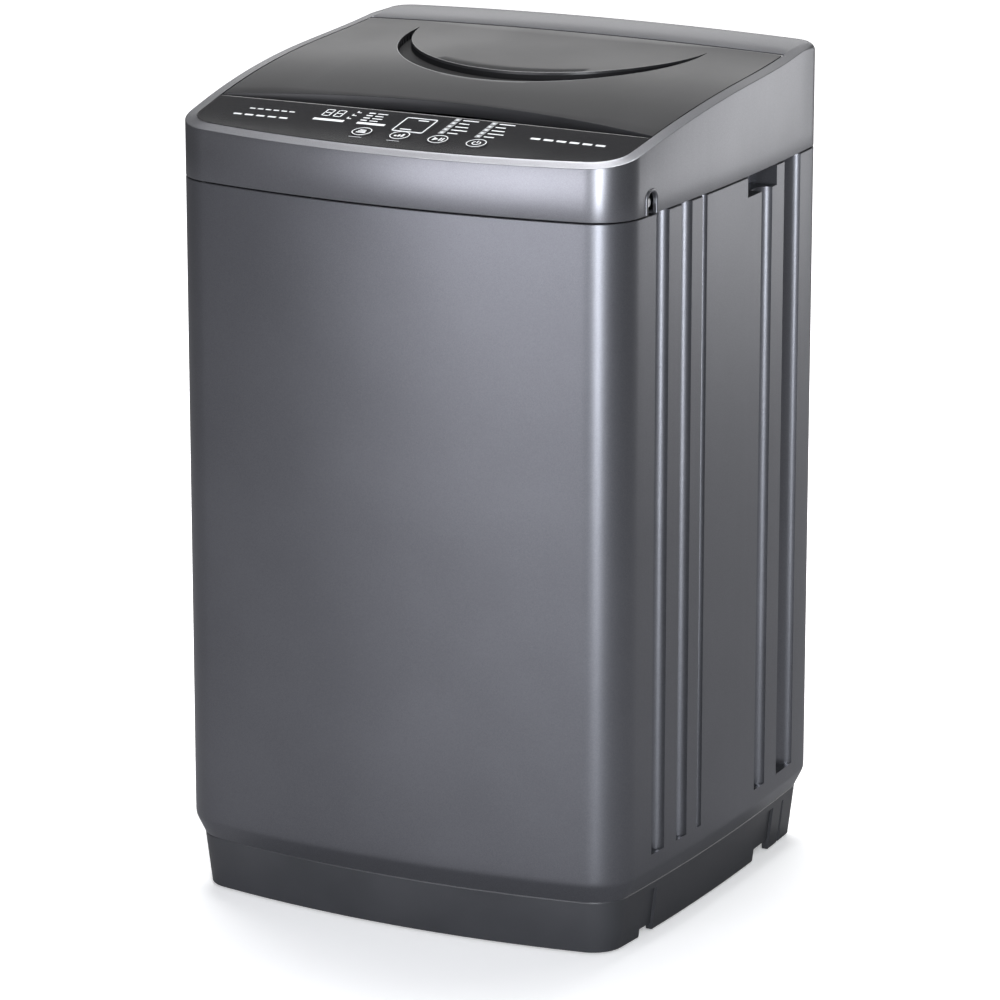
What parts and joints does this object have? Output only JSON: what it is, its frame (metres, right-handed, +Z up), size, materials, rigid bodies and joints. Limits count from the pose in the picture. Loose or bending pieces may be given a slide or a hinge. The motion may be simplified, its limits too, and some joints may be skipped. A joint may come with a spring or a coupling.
{
  "type": "top load washing machine",
  "caption": "Compact top-loading washer: grey bowed cabinet with side grooves, dark hinged lid, sloped key panel, sprung tub with spinning basket and pulsator.",
  "frame": {"origin": "centre of the footprint on the floor, under the middle of the outer box", "axes": "+X to the right seen from the front, +Y to the back, +Z up; the key panel is at -Y"},
  "size_m": [0.51, 0.486, 0.8519],
  "materials": {
    "cabinet_paint": "satin metallic grey moulding",
    "cover_paint": "satin metallic grey moulding, a shade lighter",
    "plinth_plastic": "fine-grained dark grey moulding",
    "fascia_gloss": "black gloss with fine printed marks",
    "lid_smoke": "dark smoked satin panel",
    "lamp": "clear lamp windows",
    "board": "green circuit board",
    "rubber": "black rubber",
    "sheet_steel": "grey painted sheet",
    "zinc_steel": "zinc-plated steel",
    "stainless": "brushed stainless steel",
    "tub_plastic": "off-white moulding",
    "ring_plastic": "pale grey moulding",
    "pulsator_plastic": "pale grey gloss moulding",
    "cast": "die-cast housing",
    "motor_paint": "black enamel"
  },
  "bodies": {
    "cabinet": {"cabinet_shell": "cabinet_paint", "back_panel": "sheet_steel", "back_panel_screws": "zinc_steel", "base_plinth": "plinth_plastic", "fixed_feet": "rubber", "foot_lock_nut": "zinc_steel", "top_cover": "cover_paint", "cover_screws": "zinc_steel", "control_fascia": "fascia_gloss", "display_window": "fascia_gloss", "indicator_lamps": "lamp", "control_board": "board", "key_switches": "fascia_gloss", "inlet_valve": "tub_plastic", "inlet_hose": "rubber", "inlet_nozzle": "ring_plastic", "level_sensor": "tub_plastic", "lid_switch": "fascia_gloss", "motor_capacitor": "motor_paint", "drain_outlet": "plinth_plastic", "cord_gland": "rubber", "corner_brackets": "zinc_steel", "suspension_rods": "zinc_steel", "rod_seats": "tub_plastic", "lower_spring_cups": "tub_plastic"},
    "levelling_foot": {"levelling_foot": "rubber"},
    "lid": {"lid_panel": "lid_smoke", "lid_inlay": "lid_smoke", "hinge_pins": "zinc_steel", "lid_stops": "rubber"},
    "program_key": {"program_key": "fascia_gloss"},
    "level_key": {"level_key": "fascia_gloss"},
    "start_key": {"start_key": "fascia_gloss"},
    "power_key": {"power_key": "fascia_gloss"},
    "tub": {"outer_tub": "tub_plastic", "tub_rim": "ring_plastic", "motor_plate": "zinc_steel", "plate_bolts": "zinc_steel", "upper_spring_cups": "tub_plastic", "suspension_springs": "zinc_steel", "clutch_housing": "cast", "spin_bearings": "zinc_steel", "shaft_seal": "rubber", "motor_housing": "motor_paint", "drive_belt": "rubber", "drain_valve": "tub_plastic", "drain_actuator": "motor_paint", "drain_hose": "plinth_plastic"},
    "basket": {"wash_basket": "stainless", "basket_hub": "cast", "balance_ring": "ring_plastic", "spin_shaft": "zinc_steel", "lint_filter": "ring_plastic"},
    "pulsator": {"pulsator": "pulsator_plastic", "pulsator_screw": "stainless", "drive_shaft": "zinc_steel", "driven_pulley": "cast", "pulley_nut": "zinc_steel"},
    "motor_rotor": {"motor_shaft": "zinc_steel", "motor_pulley": "cast"}
  },
  "joints": [
    {"name": "lid_hinge", "type": "hinge", "parent": "cabinet", "child": "lid", "pos_m": [0, 0.162, 0.842], "axis": [-1, 0, 0], "range_deg": [0, 95]},
    {"name": "tub_bounce", "type": "slide", "parent": "cabinet", "child": "tub", "axis": [0, 0, 1], "range_m": [-0.015, 0.01], "stiffness_N_per_m": 12000, "deforming": ["suspension_springs"]},
    {"name": "basket_spin", "type": "hinge", "parent": "tub", "child": "basket", "pos_m": [0, 0, 0.4], "axis": [0, 0, 1], "continuous": true},
    {"name": "pulsator_spin", "type": "hinge", "parent": "tub", "child": "pulsator", "pos_m": [0, 0, 0.27], "axis": [0, 0, 1], "continuous": true},
    {"name": "motor_spin", "type": "hinge", "parent": "tub", "child": "motor_rotor", "pos_m": [0.135, 0, 0.15], "axis": [0, 0, 1], "continuous": true},
    {"name": "foot_turn", "type": "hinge", "parent": "cabinet", "child": "levelling_foot", "pos_m": [0.195, -0.172, 0.01], "axis": [0, 0, 1], "continuous": true},
    {"name": "program_press", "type": "slide", "parent": "cabinet", "child": "program_key", "axis": [0, 0.1727, -0.985], "range_m": [0, 0.001], "stiffness_N_per_m": 900, "springref_m": -0.0004},
    {"name": "level_press", "type": "slide", "parent": "cabinet", "child": "level_key", "axis": [0, 0.1727, -0.985], "range_m": [0, 0.001], "stiffness_N_per_m": 900, "springref_m": -0.0004},
    {"name": "start_press", "type": "slide", "parent": "cabinet", "child": "start_key", "axis": [0, 0.1727, -0.985], "range_m": [0, 0.001], "stiffness_N_per_m": 900, "springref_m": -0.0004},
    {"name": "power_press", "type": "slide", "parent": "cabinet", "child": "power_key", "axis": [0, 0.1727, -0.985], "range_m": [0, 0.001], "stiffness_N_per_m": 900, "springref_m": -0.0004}
  ],
  "couplings": [
    {"joint": "motor_spin", "follows": "pulsator_spin", "ratio": 3.1}
  ]
}
